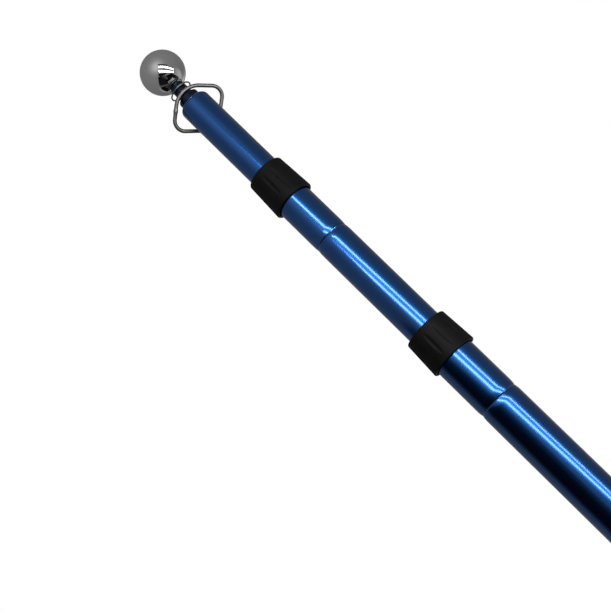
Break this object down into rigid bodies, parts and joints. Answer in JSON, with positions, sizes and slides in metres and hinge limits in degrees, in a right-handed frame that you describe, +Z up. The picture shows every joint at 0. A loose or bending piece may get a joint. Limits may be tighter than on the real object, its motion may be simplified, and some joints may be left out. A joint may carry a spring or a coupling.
{
  "type": "telescopic flagpole",
  "caption": "Telescopic aluminium flagpole: nested blue tubes with twist-lock collars, a polished ball finial and a swivelling wire bail for the flag",
  "frame": {"origin": "centre of the flat face under the foot cap, on the pole's axis", "axes": "+Z up the pole, -Y towards the side where the bail crosses the neck's front in the picture"},
  "size_m": [0.0463, 0.0376, 0.9161],
  "materials": {
    "foot_rubber": "moulded black rubber",
    "blue_anodised": "drawn tube, bright blue anodised",
    "collet_plastic": "plain moulded nylon",
    "collar_plastic": "finely textured black moulding",
    "dark_anodised": "turned, dark blue-black anodised",
    "polished_ball": "mirror polished",
    "wire_steel": "drawn wire, dull nickel"
  },
  "bodies": {
    "bottom_section": {"foot_cap": "foot_rubber", "bottom_tube": "blue_anodised", "lower_collet": "collet_plastic"},
    "lower_collar": {"lower_lock_collar": "collar_plastic"},
    "middle_section": {"middle_guide_bush": "collet_plastic", "middle_tube": "blue_anodised", "upper_collet": "collet_plastic"},
    "upper_collar": {"upper_lock_collar": "collar_plastic"},
    "top_section": {"top_guide_bush": "collet_plastic", "top_tube": "blue_anodised", "top_plug": "dark_anodised", "finial_neck": "dark_anodised", "ball_finial": "polished_ball"},
    "bail": {"neck_ring": "wire_steel", "flag_bail": "wire_steel"}
  },
  "joints": [
    {"name": "lower_collar_twist", "type": "hinge", "parent": "bottom_section", "child": "lower_collar", "pos_m": [0, 0, 0.6], "axis": [0, 0, 1], "range_deg": [0, 120]},
    {"name": "middle_slide", "type": "slide", "parent": "bottom_section", "child": "middle_section", "axis": [0, 0, 1], "range_m": [-0.13, 0.365]},
    {"name": "upper_collar_twist", "type": "hinge", "parent": "middle_section", "child": "upper_collar", "pos_m": [0, 0, 0.766], "axis": [0, 0, 1], "range_deg": [0, 120]},
    {"name": "top_slide", "type": "slide", "parent": "middle_section", "child": "top_section", "axis": [0, 0, 1], "range_m": [-0.05, 0.435]},
    {"name": "bail_swivel", "type": "hinge", "parent": "top_section", "child": "bail", "pos_m": [0, 0, 0.871], "axis": [0, 0, 1], "continuous": true}
  ]
}
